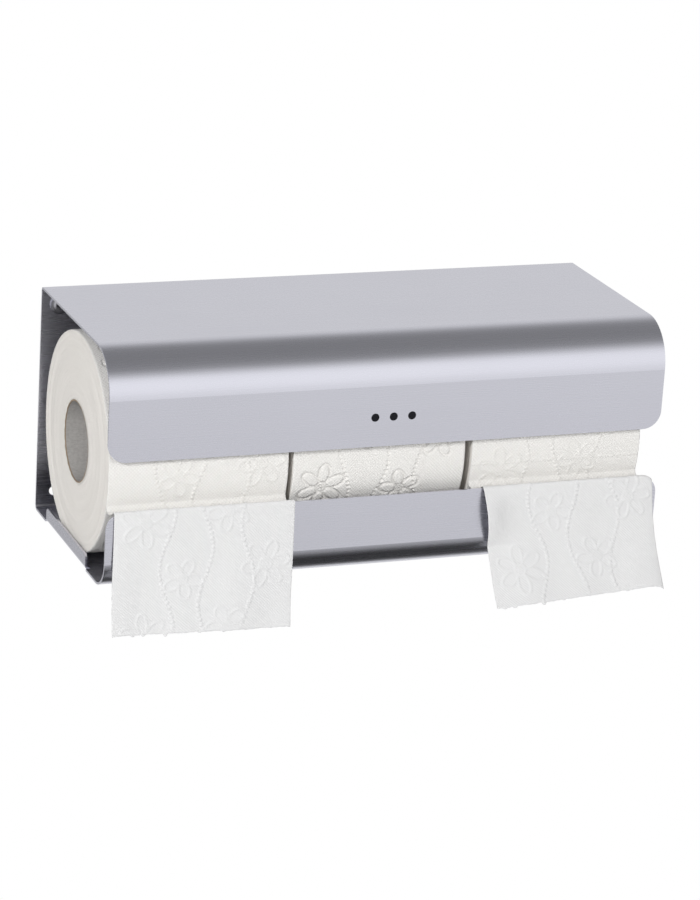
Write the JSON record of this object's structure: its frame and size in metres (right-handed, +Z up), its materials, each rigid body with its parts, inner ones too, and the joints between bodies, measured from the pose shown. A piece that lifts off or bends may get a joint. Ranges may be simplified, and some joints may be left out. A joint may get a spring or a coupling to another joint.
{
  "type": "toilet roll holder",
  "caption": "Wall-hung tray of folded brushed steel that holds spare and working toilet rolls side by side, with paper pulled out over its front lip.",
  "frame": {"origin": "centre of the four wall screw holes, on the face that lies on the wall", "axes": "+X along the holder's width, +Y into the wall, +Z up"},
  "size_m": [0.319, 0.1414, 0.1529],
  "materials": {
    "brushed_steel": "stainless sheet, brushed along its width",
    "black_plastic": "matt black moulded plastic",
    "wound_paper": "soft embossed tissue, wound",
    "loose_paper": "soft embossed tissue, single web",
    "core_board": "grey-brown spiral-wound board"
  },
  "bodies": {
    "holder": {"holder_shell": "brushed_steel", "flange_buttons": "black_plastic", "left_paper_lead": "loose_paper", "right_paper_lead": "loose_paper"},
    "left_roll": {"left_roll_paper": "wound_paper", "left_roll_core": "core_board"},
    "middle_roll": {"middle_roll_paper": "wound_paper", "middle_roll_core": "core_board"},
    "right_roll": {"right_roll_paper": "wound_paper", "right_roll_core": "core_board"},
    "left_tail": {"left_paper_tail": "loose_paper"},
    "right_tail": {"right_paper_tail": "loose_paper"}
  },
  "joints": [
    {"name": "left_roll_turn", "type": "hinge", "parent": "holder", "child": "left_roll", "pos_m": [0, -0.0662, -0.0022], "axis": [1, 0, 0], "range_deg": [0, 115]},
    {"name": "middle_roll_turn", "type": "hinge", "parent": "holder", "child": "middle_roll", "pos_m": [0, -0.0662, -0.0022], "axis": [1, 0, 0], "continuous": true},
    {"name": "right_roll_turn", "type": "hinge", "parent": "holder", "child": "right_roll", "pos_m": [0, -0.0662, -0.0022], "axis": [1, 0, 0], "range_deg": [0, 115]},
    {"name": "left_paper_pull", "type": "slide", "parent": "holder", "child": "left_tail", "axis": [0, 0, -1], "range_m": [0, 0.1201], "deforming": ["left_paper_tail"]},
    {"name": "right_paper_pull", "type": "slide", "parent": "holder", "child": "right_tail", "axis": [0, 0, -1], "range_m": [0, 0.1201], "deforming": ["right_paper_tail"]}
  ],
  "couplings": [
    {"joint": "left_paper_pull", "follows": "left_roll_turn", "m_per_rad": 0.0598},
    {"joint": "right_paper_pull", "follows": "right_roll_turn", "m_per_rad": 0.0598}
  ]
}
